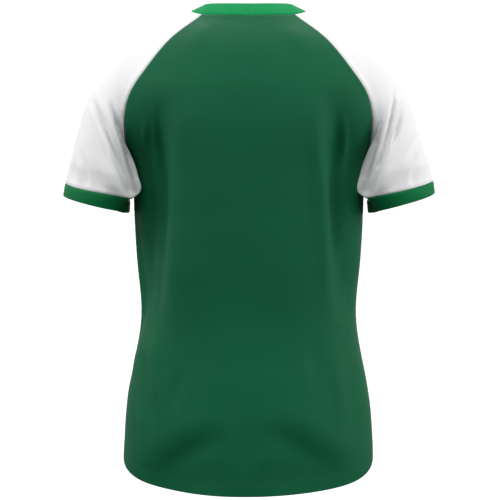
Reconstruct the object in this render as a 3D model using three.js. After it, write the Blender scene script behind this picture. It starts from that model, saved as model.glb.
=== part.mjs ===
// Football jersey with raglan short sleeves, filled out as when it is worn, with no wearer in it.
// Millimetres, +Z up, the chest towards -Y and the wearer's left towards +X. The origin lies on the
// neck's axis, level with the collar seam at the nape.
//
// The jersey is cut as a back, a front, two raglan sleeves that run up to the collar, two cuffs and a
// rib collar. Each is one wall of cloth, and neighbours stand a seam's gap apart.
import * as THREE from "three";

// Cloth
const KNIT_WALL = 1.6;
const HEM_WALL = 2.6;
const RIB_WALL = 2.2;
const SEAM_GAP = 0.3;

// Heights of the cut's main points
const NAPE_NECKLINE = 0;
const FRONT_NECKLINE = -72;
const UNDERARM = -203;
const SIDE_HEM = -627;
const BACK_HEM = -672;
const FRONT_HEM = -662;
const HEM_CURVE = 4;
const HEM_TURN = 20;
const COLLAR_WIDTH = 22;

// Steps of the grids
const RAGLAN_ROWS = 14;
const BODY_ROWS = 15;
const TUBE_ROWS = 6;
const CUFF_ROWS = 2;
const BACK_COLUMNS = 28;
const FRONT_COLUMNS = 24;
const SLEEVE_COLUMNS = 28;

// The collar's section: how far up from its seam, how far out, and its wall there. It stands up from
// the body's surface a little, more at the nape and the throat than at the sides.
const COLLAR_SECTION = [
  { up: 0.35, out: 0, wall: RIB_WALL },
  { up: 11, out: 0.4, wall: RIB_WALL },
  { up: 20.8, out: 0, wall: RIB_WALL },
  { up: COLLAR_WIDTH, out: -0.8, wall: RIB_WALL - 1.4 },
];
const STAND_IN_MIDDLE = 0.225;
const STAND_AT_SIDE = -0.03;

// The body's level sections: superellipses with their middle at y = middle. Above the underarm
// they also run through the shoulder, so that the seams lie on one even surface.
const BODY = [
  { z: 24, halfWidth: 88, halfDepth: 44, middle: -2, squareness: 2.0 },
  { z: 0, halfWidth: 108, halfDepth: 56, middle: 2, squareness: 2.05 },
  { z: -22, halfWidth: 141, halfDepth: 64.5, middle: 7.5, squareness: 2.1 },
  { z: -52, halfWidth: 176, halfDepth: 77, middle: 11, squareness: 2.1 },
  { z: -82, halfWidth: 196, halfDepth: 90, middle: 9.5, squareness: 2.15 },
  { z: -110, halfWidth: 206, halfDepth: 100.5, middle: 6.5, squareness: 2.18 },
  { z: -138, halfWidth: 206, halfDepth: 107.5, middle: 3, squareness: 2.2 },
  { z: -165, halfWidth: 195, halfDepth: 112, middle: -0.5, squareness: 2.22 },
  { z: -203, halfWidth: 174.5, halfDepth: 114, middle: -4, squareness: 2.23 },
  { z: -240, halfWidth: 170.5, halfDepth: 113, middle: -5.5, squareness: 2.22 },
  { z: -300, halfWidth: 168.5, halfDepth: 110, middle: -6, squareness: 2.25 },
  { z: -364, halfWidth: 164, halfDepth: 106.5, middle: -5.5, squareness: 2.3 },
  { z: -430, halfWidth: 159, halfDepth: 103, middle: -5, squareness: 2.3 },
  { z: -482, halfWidth: 165.5, halfDepth: 105.5, middle: -4, squareness: 2.3 },
  { z: -530, halfWidth: 174.5, halfDepth: 110, middle: -1.5, squareness: 2.3 },
  { z: -580, halfWidth: 180.5, halfDepth: 114.5, middle: 0.5, squareness: 2.3 },
  { z: -630, halfWidth: 182, halfDepth: 116, middle: 1, squareness: 2.3 },
  { z: -675, halfWidth: 183, halfDepth: 114.5, middle: 0.5, squareness: 2.3 },
];

// The raglan seams, as half widths at each height, from the collar to the underarm.
const BACK_RAGLAN = [
  { z: 5, halfWidth: 67 },
  { z: -9, halfWidth: 85 },
  { z: -22, halfWidth: 100.5 },
  { z: -52, halfWidth: 127 },
  { z: -82, halfWidth: 148.5 },
  { z: -110, halfWidth: 167 },
  { z: -138, halfWidth: 175 },
  { z: -165, halfWidth: 176.5 },
  { z: -190, halfWidth: 176.5 },
  { z: UNDERARM, halfWidth: 174.5 },
];
const FRONT_RAGLAN = [
  { z: -24, halfWidth: 68 },
  { z: -45, halfWidth: 84 },
  { z: -68, halfWidth: 103 },
  { z: -92, halfWidth: 122 },
  { z: -115, halfWidth: 137 },
  { z: -138, halfWidth: 150 },
  { z: -160, halfWidth: 161 },
  { z: -185, halfWidth: 171.5 },
  { z: UNDERARM, halfWidth: 174.5 },
];

// The left sleeve's rings. From station 0, the collar, to 1, the underarm, each ring is an arch from
// the back seam over the outer line to the front seam. From 1 on it is closed: 2 is the cuff's seam.
const CUFF_SEAM = 2;
const CUFF_END = 2.36;
const SLEEVE_OUTER = [
  { station: 0, x: 86, y: 5, z: 15.6 },
  { station: 0.125, x: 114, y: 4.5, z: 3.3 },
  { station: 0.25, x: 143, y: 4, z: -11 },
  { station: 0.375, x: 176, y: 4, z: -28.5 },
  { station: 0.5, x: 203, y: 4, z: -52.5 },
  { station: 0.625, x: 222, y: 5, z: -81 },
  { station: 0.75, x: 235, y: 6, z: -112 },
  { station: 0.875, x: 245, y: 6, z: -146 },
  { station: 1, x: 254.5, y: 5, z: -178 },
  { station: 1.5, x: 263.5, y: 2, z: -207 },
  { station: CUFF_SEAM, x: 270.5, y: -1, z: -234 },
  { station: CUFF_END, x: 274.5, y: -3.5, z: -251.6 },
];
// How far each half of an arch swings out behind and in front as it comes to the outer line, how far
// it tilts, and how far the sleeve hangs in over the body's side behind.
const SLEEVE_SWING = [
  { station: 0, back: 18, front: 24, tilt: 0, overhang: 0 },
  { station: 0.25, back: 33, front: 38, tilt: 0.02, overhang: 0 },
  { station: 0.5, back: 46, front: 50, tilt: 0.05, overhang: 0 },
  { station: 0.75, back: 68, front: 62, tilt: 0.1, overhang: 1 },
  { station: 0.8125, back: 76, front: 66, tilt: 0.11, overhang: 7 },
  { station: 0.875, back: 84, front: 70, tilt: 0.12, overhang: 16 },
  { station: 1, back: 98, front: 77, tilt: 0.14, overhang: 29 },
  { station: 1.25, back: 104, front: 80, tilt: 0.14, overhang: 35 },
  { station: 1.5, back: 106, front: 80, tilt: 0.14, overhang: 40 },
  { station: 1.75, back: 105, front: 80, tilt: 0.14, overhang: 45 },
  { station: 1.9, back: 104, front: 80, tilt: 0.14, overhang: 43 },
  { station: 2, back: 102, front: 80, tilt: 0.14, overhang: 28 },
  { station: 2.12, back: 102, front: 80, tilt: 0.14, overhang: 16 },
  { station: 2.36, back: 102, front: 80, tilt: 0.14, overhang: 9 },
];
const OVERHANG_AT = 0.16;
const OVERHANG_FROM = 0.055;
const OVERHANG_TO = 0.46;
// The points that an arch heads for as it leaves the back and front seams, and how much of its start
// stays in the body's surface.
const SLEEVE_AIM = [
  {
    station: 0, backX: 80, backY: 33, backZ: 9,
    frontX: 79, frontY: -44, frontZ: -11, flush: 1,
  },
  {
    station: 0.25, backX: 141, backY: 50, backZ: -35,
    frontX: 121, frontY: -44, frontZ: -46, flush: 1,
  },
  {
    station: 0.5, backX: 184, backY: 58, backZ: -85,
    frontX: 162, frontY: -58, frontZ: -97, flush: 0.9,
  },
  {
    station: 0.625, backX: 193, backY: 68, backZ: -113,
    frontX: 177, frontY: -70, frontZ: -124, flush: 0.6,
  },
  {
    station: 0.75, backX: 195, backY: 76, backZ: -144,
    frontX: 185, frontY: -82, frontZ: -149, flush: 0.3,
  },
  {
    station: 0.875, backX: 189, backY: 79, backZ: -178,
    frontX: 186, frontY: -91, frontZ: -174, flush: 0,
  },
  {
    station: 1, backX: 181, backY: 82, backZ: -209,
    frontX: 182, frontY: -94, frontZ: -196, flush: 0,
  },
  {
    station: 1.5, backX: 178, backY: 85, backZ: -244,
    frontX: 180, frontY: -91, frontZ: -222, flush: 0,
  },
  {
    station: 2, backX: 177, backY: 82, backZ: -270,
    frontX: 179, frontY: -88, frontZ: -249, flush: 0,
  },
  {
    station: 2.36, backX: 178, backY: 77, backZ: -286,
    frontX: 180, frontY: -86, frontZ: -268, flush: 0,
  },
];
// The sleeve's inner line, from the underarm down past the body's side.
const SLEEVE_INNER = [
  { station: 1, x: 174.5, y: -2, z: UNDERARM },
  { station: 1.5, x: 177.5, y: -2, z: -232 },
  { station: CUFF_SEAM, x: 176.5, y: -3, z: -260 },
  { station: CUFF_END, x: 178, y: -5, z: -279 },
];

// Soft folds, as seen from behind or from in front: a bowed line from its start over its bow to its
// end, its width, and its depth, below 0 for a trough.
const FOLDS = [
  { on: "back", x: [122, 121, 127], z: [-150, -265, -405], width: 17, depth: -5 },
  { on: "back", x: [92, 94, 99], z: [-118, -225, -350], width: 11, depth: 1.8 },
  { on: "back", x: [-113, -118, -127], z: [-150, -280, -405], width: 18, depth: -5 },
  { on: "back", x: [-90, -95, -113], z: [-118, -260, -480], width: 12, depth: 1.8 },
  { on: "back", x: [38, 80, 130], z: [-566, -596, -634], width: 20, depth: -4.5 },
  { on: "back", x: [-30, -74, -126], z: [-560, -594, -630], width: 20, depth: -4.5 },
  { on: "back", x: [151, 145, 134], z: [-470, -515, -580], width: 12, depth: -2.5 },
  { on: "back", x: [-134, -132, -128], z: [-480, -530, -590], width: 14, depth: 2 },
  { on: "front", x: [116, 118, 124], z: [-190, -290, -400], width: 18, depth: -4.5 },
  { on: "front", x: [-112, -116, -124], z: [-185, -300, -420], width: 18, depth: -4.5 },
  { on: "front", x: [30, 78, 128], z: [-540, -585, -625], width: 20, depth: -3.5 },
  { on: "front", x: [-40, -84, -128], z: [-550, -590, -632], width: 20, depth: -3.5 },
  { on: "sleeve back", x: [214, 201, 180], z: [-126, -168, -214], width: 9, depth: -4.5 },
  { on: "sleeve back", x: [200, 188, 170], z: [-128, -165, -214], width: 8, depth: -3.5 },
  { on: "sleeve back", x: [241, 236, 229], z: [-196, -219, -244], width: 8, depth: -2.5 },
  { on: "sleeve front", x: [220, 205, 184], z: [-118, -160, -206], width: 10, depth: -4.5 },
  { on: "sleeve front", x: [198, 190, 176], z: [-132, -165, -200], width: 9, depth: -3 },
  { on: "sleeve front", x: [243, 237, 232], z: [-190, -216, -242], width: 8, depth: -2.5 },
];

// The even curve through one column of a table, by the column that the rows are ordered by. It is a
// natural cubic spline.
function curveThrough(rows, by, column) {
  const at = rows.map((row) => row[by]);
  const value = rows.map((row) => row[column]);
  const last = rows.length - 1;
  const bend = new Array(rows.length).fill(0);
  const carry = new Array(rows.length).fill(0);
  for (let k = 1; k < last; k++) {
    const before = at[k] - at[k - 1];
    const after = at[k + 1] - at[k];
    const share = before / (before + after);
    const pivot = share * carry[k - 1] + 2;
    const turn = (value[k + 1] - value[k]) / after - (value[k] - value[k - 1]) / before;
    carry[k] = (share - 1) / pivot;
    bend[k] = ((6 * turn) / (before + after) - share * bend[k - 1]) / pivot;
  }
  for (let k = last - 1; k > 0; k--) bend[k] += carry[k] * bend[k + 1];
  const rising = at[last] > at[0];
  return (x) => {
    let k = 1;
    while (k < last && (rising ? x > at[k] : x < at[k])) k++;
    const step = at[k] - at[k - 1];
    const a = (at[k] - x) / step;
    const b = 1 - a;
    const cubic = ((a ** 3 - a) * bend[k - 1] + (b ** 3 - b) * bend[k]) * step * step;
    return a * value[k - 1] + b * value[k] + cubic / 6;
  };
}

// The curves through all of a table's columns.
function curvesThrough(rows, by) {
  const curves = {};
  for (const column of Object.keys(rows[0])) {
    if (column !== by) curves[column] = curveThrough(rows, by, column);
  }
  return curves;
}

const body = curvesThrough(BODY, "z");
const raglanWidth = {
  back: curveThrough(BACK_RAGLAN, "z", "halfWidth"),
  front: curveThrough(FRONT_RAGLAN, "z", "halfWidth"),
};
const outer = curvesThrough(SLEEVE_OUTER, "station");
const swing = curvesThrough(SLEEVE_SWING, "station");
const aim = curvesThrough(SLEEVE_AIM, "station");
const inner = curvesThrough(SLEEVE_INNER, "station");

const vector = (x, y, z) => new THREE.Vector3(x, y, z);
const pointAt = (curves, at) => vector(curves.x(at), curves.y(at), curves.z(at));

// A point of the body's surface, at an angle round it: 0 is the left side and 90 degrees the back.
function bodyPoint(angle, z) {
  const power = body.squareness(z);
  const across = Math.abs(Math.cos(angle) / body.halfWidth(z)) ** power;
  const along = Math.abs(Math.sin(angle) / body.halfDepth(z)) ** power;
  const radius = (across + along) ** (-1 / power);
  return vector(radius * Math.cos(angle), body.middle(z) + radius * Math.sin(angle), z);
}

// The outward normal where two small steps on a surface are known.
function normalOf(stepAlong, stepAcross) {
  return vector().crossVectors(stepAlong, stepAcross).normalize();
}

const ANGLE_STEP = 0.002;
const HEIGHT_STEP = 0.5;
function bodyNormal(angle, z) {
  const round = bodyPoint(angle + ANGLE_STEP, z).sub(bodyPoint(angle - ANGLE_STEP, z));
  const up = bodyPoint(angle, z + HEIGHT_STEP).sub(bodyPoint(angle, z - HEIGHT_STEP));
  return normalOf(round, up);
}

// The angle round the body at which a seam of this half width lies.
function angleOf(halfWidth, z, facing) {
  const share = Math.min(halfWidth / body.halfWidth(z), 1);
  const power = body.squareness(z);
  const depth = body.halfDepth(z) * (1 - share ** power) ** (1 / power);
  return facing * Math.atan2(depth, halfWidth);
}

// The body's panels: which way each faces, its raglan seam, and its neckline and hem in the middle.
const PANELS = {
  back: { facing: 1, neckline: NAPE_NECKLINE, hem: BACK_HEM, seam: BACK_RAGLAN, columns: BACK_COLUMNS },
  front: {
    facing: -1, neckline: FRONT_NECKLINE, hem: FRONT_HEM, seam: FRONT_RAGLAN, columns: FRONT_COLUMNS,
  },
};
const EVEN_ROWS = RAGLAN_ROWS + BODY_ROWS;

// The height and the angle at which a panel's row ends at the left.
function rowEnd(side, row) {
  const panel = PANELS[side];
  const top = panel.seam[0].z;
  if (row < RAGLAN_ROWS) {
    const z = THREE.MathUtils.lerp(top, UNDERARM, row / RAGLAN_ROWS);
    return { z, angle: angleOf(raglanWidth[side](z), z, panel.facing) };
  }
  const share = Math.min((row - RAGLAN_ROWS) / (BODY_ROWS - 1), 1);
  const turn = row > EVEN_ROWS - 1 ? 0 : HEM_TURN;
  return { z: THREE.MathUtils.lerp(UNDERARM, SIDE_HEM + turn, share), angle: 0 };
}

// The height of a panel's row in the middle.
function rowMiddle(side, row) {
  const panel = PANELS[side];
  if (row < RAGLAN_ROWS) return THREE.MathUtils.lerp(panel.neckline, UNDERARM, row / RAGLAN_ROWS);
  const share = Math.min((row - RAGLAN_ROWS) / (BODY_ROWS - 1), 1);
  const turn = row > EVEN_ROWS - 1 ? 0 : HEM_TURN;
  return THREE.MathUtils.lerp(UNDERARM, panel.hem + turn, share);
}

// How far the folds on one face move a point that is seen at x and z.
const FOLD_STEPS = 12;
const FOLD_REACH = 3;
function foldHeight(face, x, z) {
  let height = 0;
  for (const fold of FOLDS) {
    if (fold.on !== face) continue;
    const line = new THREE.QuadraticBezierCurve(
      new THREE.Vector2(fold.x[0], fold.z[0]),
      new THREE.Vector2(
        2 * fold.x[1] - (fold.x[0] + fold.x[2]) / 2,
        2 * fold.z[1] - (fold.z[0] + fold.z[2]) / 2,
      ),
      new THREE.Vector2(fold.x[2], fold.z[2]),
    );
    let nearest = Infinity;
    let place = 0;
    for (let k = 0; k <= FOLD_STEPS; k++) {
      const p = line.getPoint(k / FOLD_STEPS);
      const away = Math.hypot(p.x - x, p.y - z);
      if (away < nearest) {
        nearest = away;
        place = k / FOLD_STEPS;
      }
    }
    const far = (nearest / fold.width) ** 2;
    if (far > FOLD_REACH ** 2) continue;
    const fade = 0.25 + 0.75 * Math.sin(Math.PI * place);
    height += fold.depth * fade * Math.exp(-far) * (1 - 0.6 * far);
  }
  return height;
}

// One of the body's panels as a grid of points with their normals, row by row from the collar down.
function panelGrid(side) {
  const panel = PANELS[side];
  const grid = [];
  for (let row = 0; row <= EVEN_ROWS; row++) {
    const end = rowEnd(side, row);
    const middle = rowMiddle(side, row);
    const quarter = (panel.facing * Math.PI) / 2;
    const line = [];
    for (let column = 0; column <= panel.columns; column++) {
      const across = 1 - (2 * column) / panel.columns;
      const angle = quarter - across * (quarter - end.angle);
      const curve = row < RAGLAN_ROWS ? 2 : HEM_CURVE;
      const z = THREE.MathUtils.lerp(middle, end.z, Math.abs(across) ** curve);
      const normal = bodyNormal(angle, z);
      const point = bodyPoint(angle, z);
      const seamFade = THREE.MathUtils.smoothstep(1 - Math.abs(across), 0, 0.12);
      point.addScaledVector(normal, foldHeight(side, point.x, point.z) * seamFade);
      line.push({ point, normal, wall: row >= EVEN_ROWS - 1 ? HEM_WALL : KNIT_WALL });
    }
    grid.push(line);
  }
  return grid;
}

// Where a sleeve's arch starts on the back seam, or ends on the front one, and what it heads for.
function archEnd(side, station) {
  const target = vector(aim[side + "X"](station), aim[side + "Y"](station), aim[side + "Z"](station));
  if (station >= 1) return { point: pointAt(inner, station), target };
  const { z, angle } = rowEnd(side, station * RAGLAN_ROWS);
  const normal = bodyNormal(angle, z);
  const point = bodyPoint(angle, z);
  const flush = THREE.MathUtils.clamp(aim.flush(station), 0, 1);
  const away = target.clone().sub(point).dot(normal);
  return { point, target: target.addScaledVector(normal, -away * flush) };
}

// The two halves of the left sleeve's ring at a station, back and front.
function sleeveArch(station) {
  const top = pointAt(outer, station);
  const tilt = swing.tilt(station);
  const behind = swing.back(station);
  const before = swing.front(station);
  const start = archEnd("back", station);
  const end = archEnd("front", station);
  return [
    new THREE.CubicBezierCurve3(
      start.point,
      start.target,
      top.clone().add(vector(0, behind, -behind * tilt)),
      top,
    ),
    new THREE.CubicBezierCurve3(
      top,
      top.clone().add(vector(0, -before, before * tilt)),
      end.target,
      end.point,
    ),
  ];
}

const STATION_STEP = 0.004;
const ARCH_STEP = 0.004;
function sleevePoint(station, share) {
  const [back, front] = sleeveArch(station);
  const point = share < 0.5 ? back.getPoint(share * 2) : front.getPoint(share * 2 - 1);
  const { smoothstep } = THREE.MathUtils;
  const hung = smoothstep(share, OVERHANG_FROM, OVERHANG_AT) - smoothstep(share, OVERHANG_AT, OVERHANG_TO);
  point.x -= hung * Math.max(swing.overhang(station), 0);
  return point;
}

// The left sleeve's grid between two stations, from the back seam over the outer line to the front.
function sleeveGrid(stations, wall) {
  const lowest = stations[0];
  const highest = stations[stations.length - 1];
  return stations.map((station) => {
    const before = Math.max(station - STATION_STEP, lowest);
    const after = Math.min(station + STATION_STEP, highest);
    const line = [];
    for (let column = 0; column <= SLEEVE_COLUMNS; column++) {
      const share = column / SLEEVE_COLUMNS;
      const along = sleevePoint(after, share).sub(sleevePoint(before, share));
      const across = sleevePoint(station, Math.min(share + ARCH_STEP, 1)).sub(
        sleevePoint(station, Math.max(share - ARCH_STEP, 0)),
      );
      const normal = normalOf(across, along);
      const point = sleevePoint(station, share);
      const face = share < 0.5 ? "sleeve back" : "sleeve front";
      const turned = THREE.MathUtils.smoothstep(Math.abs(normal.y), 0.1, 0.5);
      const seamFade = THREE.MathUtils.smoothstep(Math.min(share, 1 - share), 0, 0.06);
      point.addScaledVector(normal, foldHeight(face, point.x, point.z) * turned * seamFade);
      line.push({ point, normal, wall });
    }
    return line;
  });
}

// The way from a grid's edge into it.
function inward(edge, next) {
  return next.point.clone().sub(edge.point).normalize();
}

// Opens the raglan seam between a panel and a sleeve: each edge backs off by half the gap. Towards the
// underarm the sleeve folds back over the panel, and there the gap is wider.
const UNDERARM_EASE = 0.3;
function openRaglan(panel, sleeve, panelColumn, sleeveColumn) {
  const panelNext = panelColumn === 0 ? 1 : panelColumn - 1;
  const sleeveNext = sleeveColumn === 0 ? 1 : sleeveColumn - 1;
  for (let row = 0; row <= RAGLAN_ROWS; row++) {
    const edge = panel[row][panelColumn];
    const sleeveEdge = sleeve[row][sleeveColumn];
    const intoSleeve = inward(sleeveEdge, sleeve[row][sleeveNext]);
    const apart = intoSleeve.sub(inward(edge, panel[row][panelNext])).normalize();
    const ease = UNDERARM_EASE * THREE.MathUtils.smoothstep(row / RAGLAN_ROWS, 0.7, 0.9);
    apart.multiplyScalar((SEAM_GAP + ease) / 2);
    sleeveEdge.point.add(apart);
    edge.point.sub(apart);
  }
}

function openSide(panel, column) {
  const next = column === 0 ? 1 : column - 1;
  for (let row = RAGLAN_ROWS; row < panel.length; row++) {
    const edge = panel[row][column];
    edge.point.addScaledVector(inward(edge, panel[row][next]), SEAM_GAP / 2);
  }
}

// A closed wall of cloth from a grid of its outer points. Rows from closedFrom on are rings, whose
// last column is their first.
function wallOf(grid, closedFrom = Infinity) {
  const rows = grid.length;
  const columns = grid[0].length;
  const layer = rows * columns;
  const place = (row, column) => row * columns + (row >= closedFrom && column === columns - 1 ? 0 : column);
  const positions = new Float32Array(layer * 2 * 3);
  grid.flat().forEach((cloth, k) => {
    cloth.point.toArray(positions, k * 3);
    cloth.point.clone().addScaledVector(cloth.normal, -cloth.wall).toArray(positions, (layer + k) * 3);
  });
  const at = (k) => vector().fromArray(positions, k * 3);
  const faces = [];
  for (let row = 0; row + 1 < rows; row++) {
    for (let column = 0; column + 1 < columns; column++) {
      const corners = [
        place(row, column),
        place(row, column + 1),
        place(row + 1, column + 1),
        place(row + 1, column),
      ];
      const first = at(corners[0]).distanceTo(at(corners[2]));
      const second = at(corners[1]).distanceTo(at(corners[3]));
      const [a, b, c, d] = first <= second ? corners : [...corners.slice(1), corners[0]];
      faces.push([a, b, c], [a, c, d]);
    }
  }
  const whole = faces.filter(([a, b, c]) => a !== b && b !== c && a !== c);
  const edges = new Map();
  for (const face of whole) {
    face.forEach((from, k) => {
      const to = face[(k + 1) % 3];
      if (!edges.delete(to + " " + from)) edges.set(from + " " + to, [from, to]);
    });
  }
  const index = [];
  for (const [a, b, c] of whole) {
    index.push(a, b, c, layer + a, layer + c, layer + b);
  }
  for (const [from, to] of edges.values()) {
    index.push(from, layer + to, to, from, layer + from, layer + to);
  }
  return facingOut(positions, index);
}

// A geometry whose faces point out of the solid.
function facingOut(positions, index) {
  let volume = 0;
  const [a, b, c] = [vector(), vector(), vector()];
  for (let k = 0; k < index.length; k += 3) {
    a.fromArray(positions, index[k] * 3);
    b.fromArray(positions, index[k + 1] * 3);
    c.fromArray(positions, index[k + 2] * 3);
    volume += a.dot(b.cross(c));
  }
  if (volume < 0) {
    for (let k = 0; k < index.length; k += 3) [index[k], index[k + 1]] = [index[k + 1], index[k]];
  }
  const geometry = new THREE.BufferGeometry();
  geometry.setAttribute("position", new THREE.BufferAttribute(positions, 3));
  geometry.setIndex(index);
  geometry.computeVertexNormals();
  return geometry;
}

// The same grid on the wearer's other side.
function mirrored(grid) {
  return grid.map((line) =>
    line.map(({ point, normal, wall }) => ({
      point: vector(-point.x, point.y, point.z),
      normal: vector(-normal.x, normal.y, normal.z),
      wall,
    })),
  );
}

// The collar: a rib band that goes on from the neckline's own points and leans in to the neck.
function collarGrid(neckline) {
  const count = neckline.length;
  const rings = COLLAR_SECTION.map(() => []);
  for (let step = 0; step <= count; step++) {
    const seam = neckline[step % count];
    const before = neckline[(step + count - 1) % count].point;
    const after = neckline[(step + 1) % count].point;
    const run = after.clone().sub(before).normalize();
    const rise = vector().crossVectors(seam.normal, run).normalize();
    if (rise.dot(vector(seam.point.x, seam.point.y, 0)) > 0) rise.negate();
    const ahead = -run.x * Math.sign(seam.point.y);
    rise.z += THREE.MathUtils.lerp(STAND_AT_SIDE, STAND_IN_MIDDLE, ahead ** 4);
    rise.normalize();
    const out = vector().crossVectors(run, rise).normalize();
    if (out.dot(seam.normal) < 0) out.negate();
    COLLAR_SECTION.forEach(({ up, out: outward, wall }, ring) => {
      const point = seam.point.clone().addScaledVector(rise, up).addScaledVector(out, outward);
      rings[ring].push({ point, normal: out, wall });
    });
  }
  return rings;
}

// Finishes
const finish = (color, roughness) => new THREE.MeshStandardMaterial({ color, roughness, metalness: 0 });
const bottleGreen = finish(0x185438, 0.7);
const ribGreen = finish(0x2a9a60, 0.8);
const cuffGreen = finish(0x0e6a3c, 0.75);
const white = finish(0xf6f6f7, 0.7);

function piece(name, geometry, material) {
  const mesh = new THREE.Mesh(geometry, material);
  mesh.name = name;
  return mesh;
}

const evenly = (from, to, steps) =>
  Array.from({ length: steps + 1 }, (_, k) => THREE.MathUtils.lerp(from, to, k / steps));

const back = panelGrid("back");
const front = panelGrid("front");
const sleeveStations = [
  ...evenly(0, 1, RAGLAN_ROWS),
  ...evenly(1, CUFF_SEAM, TUBE_ROWS).slice(1),
];
const CUFF_START = CUFF_SEAM + 0.016;
const leftSleeve = sleeveGrid(sleeveStations, KNIT_WALL);
const rightSleeve = mirrored(leftSleeve);
const leftCuff = sleeveGrid(evenly(CUFF_START, CUFF_END, CUFF_ROWS), RIB_WALL);
const rightCuff = mirrored(leftCuff);

// The neckline, round from the nape over the left shoulder to the front and back over the right.
const half = BACK_COLUMNS / 2;
const inside = leftSleeve[0].map((_, k) => k).filter((k) => k % 2 === 0 && k > 0 && k < SLEEVE_COLUMNS);
const neckline = [
  ...back[0].slice(0, half + 1).reverse(),
  ...inside.map((k) => leftSleeve[0][k]),
  ...front[0],
  ...inside.map((k) => rightSleeve[0][k]).reverse(),
  ...back[0].slice(half + 1).reverse(),
].map(({ point, normal }) => ({ point: point.clone(), normal: normal.clone() }));
const collar = collarGrid(neckline);

openRaglan(back, leftSleeve, 0, 0);
openRaglan(front, leftSleeve, 0, SLEEVE_COLUMNS);
openRaglan(back, rightSleeve, BACK_COLUMNS, 0);
openRaglan(front, rightSleeve, FRONT_COLUMNS, SLEEVE_COLUMNS);
for (const column of [0, BACK_COLUMNS]) openSide(back, column);
for (const column of [0, FRONT_COLUMNS]) openSide(front, column);

const jersey = new THREE.Group();
jersey.add(
  piece("back_panel", wallOf(back), bottleGreen),
  piece("front_panel", wallOf(front), bottleGreen),
  piece("sleeve_left", wallOf(leftSleeve, RAGLAN_ROWS), white),
  piece("sleeve_right", wallOf(rightSleeve, RAGLAN_ROWS), white),
  piece("cuff_left", wallOf(leftCuff, 0), cuffGreen),
  piece("cuff_right", wallOf(rightCuff, 0), cuffGreen),
  piece("collar", wallOf(collar, 0), ribGreen),
);

export default jersey;
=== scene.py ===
import math

import bpy
import numpy as np
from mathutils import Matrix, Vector


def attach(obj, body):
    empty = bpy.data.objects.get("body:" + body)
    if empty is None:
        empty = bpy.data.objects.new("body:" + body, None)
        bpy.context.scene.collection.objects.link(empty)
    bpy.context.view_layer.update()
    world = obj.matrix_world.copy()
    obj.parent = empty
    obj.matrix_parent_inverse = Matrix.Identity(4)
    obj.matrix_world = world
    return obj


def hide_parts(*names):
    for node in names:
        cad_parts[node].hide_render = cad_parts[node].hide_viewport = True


# The jersey's looks. Sizes are in millimetres until they become vertices, with the CAD's axes: +Z up,
# the chest towards -Y and the wearer's left towards +X.
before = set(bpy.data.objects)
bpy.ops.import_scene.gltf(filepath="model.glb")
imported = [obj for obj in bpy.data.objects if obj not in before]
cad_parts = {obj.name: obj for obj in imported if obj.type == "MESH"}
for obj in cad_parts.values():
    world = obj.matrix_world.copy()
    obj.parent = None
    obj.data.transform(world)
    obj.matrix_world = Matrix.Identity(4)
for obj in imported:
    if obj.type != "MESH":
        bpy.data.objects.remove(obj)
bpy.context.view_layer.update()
MM = 0.001

# The cloth's thickness, alone and where the hem and the cuffs double it
CLOTH = 0.9
DOUBLED_CLOTH = 1.9
# The slit along the raglan and the sleeves' seams, and the lap of the two panels at the side seams
SEAM_SLIT = 0.06
SIDE_LAP = 0.5
# Heights
NAPE_NECKLINE = 0
FRONT_NECKLINE = -72
UNDERARM = -203
SIDE_HEM = -627
BACK_HEM = -672
FRONT_HEM = -662
# How late the hem rises towards the side seams, how far it is turned up, and where its stitches run
HEM_CURVE = 4
HEM_TURN = 22
STITCH_ROWS = (1.2, 4.6)
STITCH_LIFT = 0.12

# z, half width, half depth, middle, squareness of the body's level sections
BODY = np.array([
    (24, 88, 44, -2, 2.0), (0, 108, 56, 2, 2.05), (-22, 141, 64.5, 7.5, 2.1),
    (-52, 176, 77, 11, 2.1), (-82, 196, 90, 9.5, 2.15), (-110, 206, 100.5, 6.5, 2.18),
    (-138, 206, 107.5, 3, 2.2), (-165, 195, 112, -0.5, 2.22), (-203, 174.5, 114, -4, 2.23),
    (-240, 170.5, 113, -5.5, 2.22), (-300, 168.5, 110, -6, 2.25), (-364, 164, 106.5, -5.5, 2.3),
    (-430, 159, 103, -5, 2.3), (-482, 165.5, 105.5, -4, 2.3), (-530, 174.5, 110, -1.5, 2.3),
    (-580, 180.5, 114.5, 0.5, 2.3), (-630, 182, 116, 1, 2.3), (-675, 183, 114.5, 0.5, 2.3),
])
# z and half width of the raglan seams
RAGLAN = {
    "back": np.array([
        (5, 67), (-9, 85), (-22, 100.5), (-52, 127), (-82, 148.5), (-110, 167), (-138, 175),
        (-165, 176.5), (-190, 176.5), (-203, 174.5),
    ]),
    "front": np.array([
        (-24, 68), (-45, 84), (-68, 103), (-92, 122), (-115, 137), (-138, 150), (-160, 161),
        (-185, 171.5), (-203, 174.5),
    ]),
}
# station, x, y, z of the left sleeve's outer line
SLEEVE_OUTER = np.array([
    (0, 86, 5, 15.6), (0.125, 114, 4.5, 3.3), (0.25, 143, 4, -11), (0.375, 176, 4, -28.5),
    (0.5, 203, 4, -52.5), (0.625, 222, 5, -81), (0.75, 235, 6, -112), (0.875, 245, 6, -146),
    (1, 254.5, 5, -178), (1.5, 263.5, 2, -207), (2, 270.5, -1, -234), (2.36, 274.5, -3.5, -251.6),
])
# station, swing behind, swing in front, tilt, overhang
SLEEVE_SWING = np.array([
    (0, 18, 24, 0, 0), (0.25, 33, 38, 0.02, 0), (0.5, 46, 50, 0.05, 0), (0.75, 68, 62, 0.1, 1),
    (0.8125, 76, 66, 0.11, 7), (0.875, 84, 70, 0.12, 16), (1, 98, 77, 0.14, 29),
    (1.25, 104, 80, 0.14, 35), (1.5, 106, 80, 0.14, 40), (1.75, 105, 80, 0.14, 45),
    (1.9, 104, 80, 0.14, 43),
    (2, 102, 80, 0.14, 28), (2.12, 102, 80, 0.14, 16), (2.36, 102, 80, 0.14, 9),
])
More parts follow.
